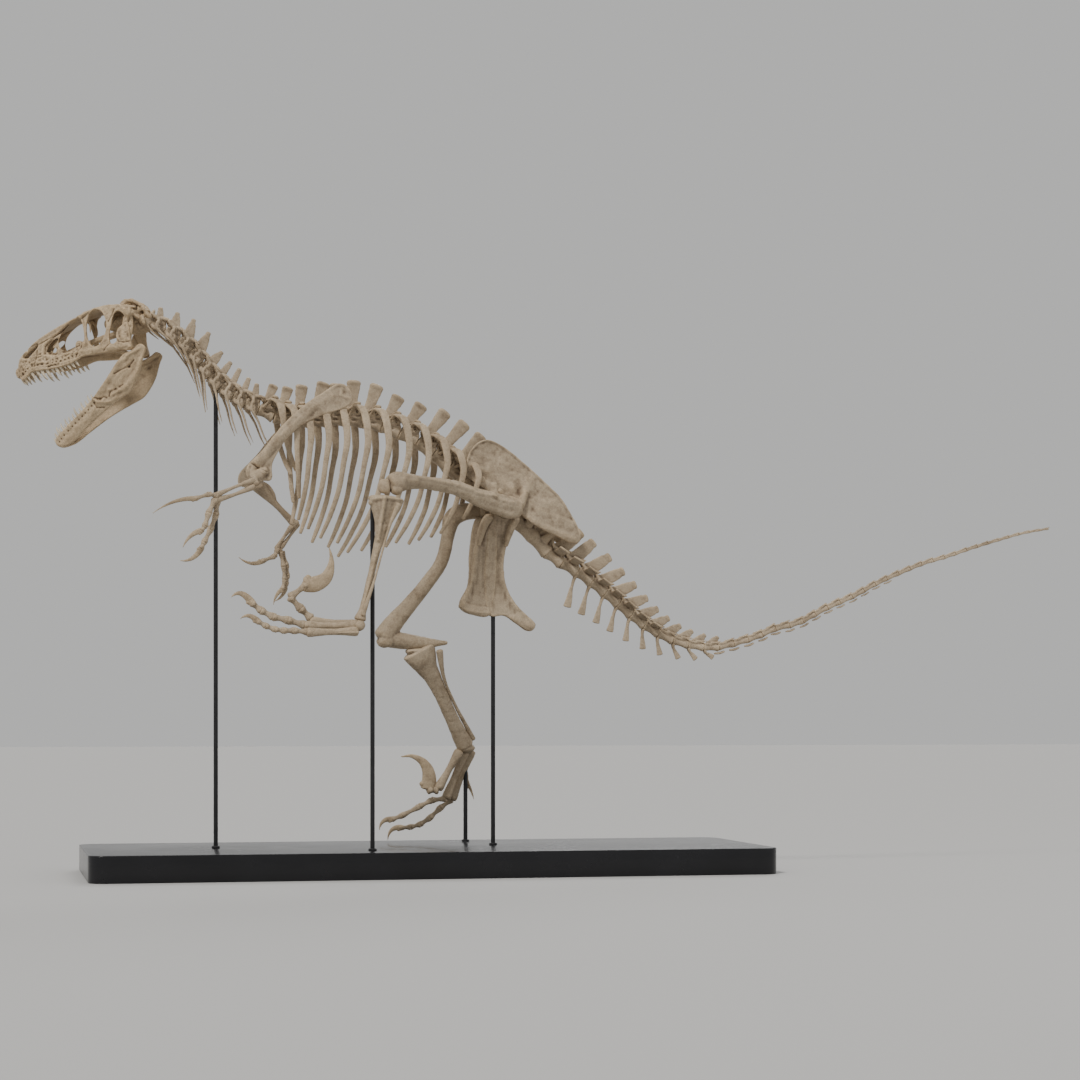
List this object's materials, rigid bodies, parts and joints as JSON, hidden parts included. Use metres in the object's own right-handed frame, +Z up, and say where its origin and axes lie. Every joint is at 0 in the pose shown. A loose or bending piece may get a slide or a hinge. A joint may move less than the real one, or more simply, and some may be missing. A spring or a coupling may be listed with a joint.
{
  "type": "mounted large dromaeosaurid skeleton",
  "caption": "Mounted skeleton of a large two-legged sickle-clawed dinosaur, mid stride with open jaws, on a long black slab with slim black rods.",
  "frame": {"origin": "centre of the slab's underside", "axes": "+X along the slab from the head toward the tail, +Z up, the animal's left side faces -Y"},
  "size_m": [3.9798, 0.8626, 2.0965],
  "materials": {
    "bone": "matte cast bone",
    "skull_bone": "matte cast bone",
    "base_black": "gloss",
    "rod_black": "satin"
  },
  "bodies": {
    "root": {"skull": "skull_bone", "mandible_left": "skull_bone", "mandible_right": "skull_bone", "neck_front": "bone", "neck_rear": "bone", "torso_left": "bone", "torso_right": "bone", "sacrum": "bone", "tail_1": "bone", "tail_2": "bone", "tail_3": "bone", "tail_4": "bone", "tail_5": "bone", "ilium_left": "bone", "pubis_left": "bone", "ischium_left": "bone", "scapula_left": "bone", "ilium_right": "bone", "pubis_right": "bone", "ischium_right": "bone", "scapula_right": "bone", "humerus_left": "bone", "radius_left": "bone", "ulna_left": "bone", "finger_2_left": "bone", "finger_1_left": "bone", "finger_3_left": "bone", "humerus_right": "bone", "radius_right": "bone", "ulna_right": "bone", "finger_2_right": "bone", "finger_1_right": "bone", "finger_3_right": "bone", "femur_left": "bone", "tibia_left": "bone", "fibula_left": "bone", "metatarsus_left": "bone", "toe_2_left": "bone", "toe_3_left": "bone", "toe_4_left": "bone", "toe_1_left": "bone", "femur_right": "bone", "tibia_right": "bone", "fibula_right": "bone", "metatarsus_right": "bone", "toe_2_right": "bone", "toe_3_right": "bone", "toe_4_right": "bone", "toe_1_right": "bone", "stand_base": "base_black", "stand_rod_neck": "rod_black", "stand_rod_knee": "rod_black", "stand_rod_pelvis": "rod_black", "stand_rod_foot": "rod_black"}
  },
  "joints": []
}
